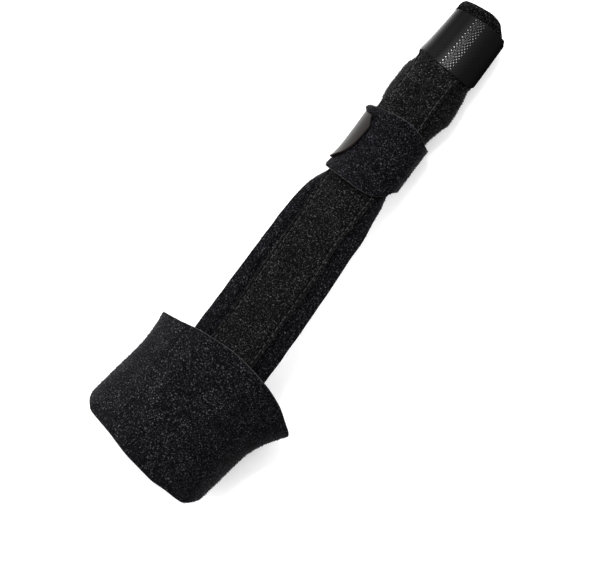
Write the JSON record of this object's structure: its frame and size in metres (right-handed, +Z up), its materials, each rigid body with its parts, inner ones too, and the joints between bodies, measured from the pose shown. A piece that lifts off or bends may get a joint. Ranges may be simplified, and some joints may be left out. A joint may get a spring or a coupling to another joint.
{
  "type": "finger splint",
  "caption": "Black cloth splint for one finger with a wrist wrap, a stay pocket up the palm, a finger sleeve and hook tape closures.",
  "frame": {"origin": "under the middle of the wrist wrap, on the flat outer face of its overlap at the back, which the splint rests on", "axes": "+Y runs from the wrist to the fingertip, +X to the little finger's side of a left hand, +Z up out of the palm side"},
  "size_m": [0.0691, 0.2161, 0.0459],
  "materials": {
    "loop_cloth": "matt loop pile",
    "pocket_cloth": "matt loop pile with sewn edges",
    "tab_tape": "smooth glossy hook tape",
    "woven_tape": "glossy woven hook tape",
    "hook_patch": "plain hook tape"
  },
  "bodies": {
    "root": {"wrist_wrap": "loop_cloth", "wrist_hook_patch": "hook_patch", "palm_strip": "loop_cloth", "stay_pocket": "pocket_cloth", "finger_sleeve": "loop_cloth", "finger_strap": "loop_cloth", "strap_tab": "tab_tape", "tip_tape": "woven_tape"}
  },
  "joints": []
}
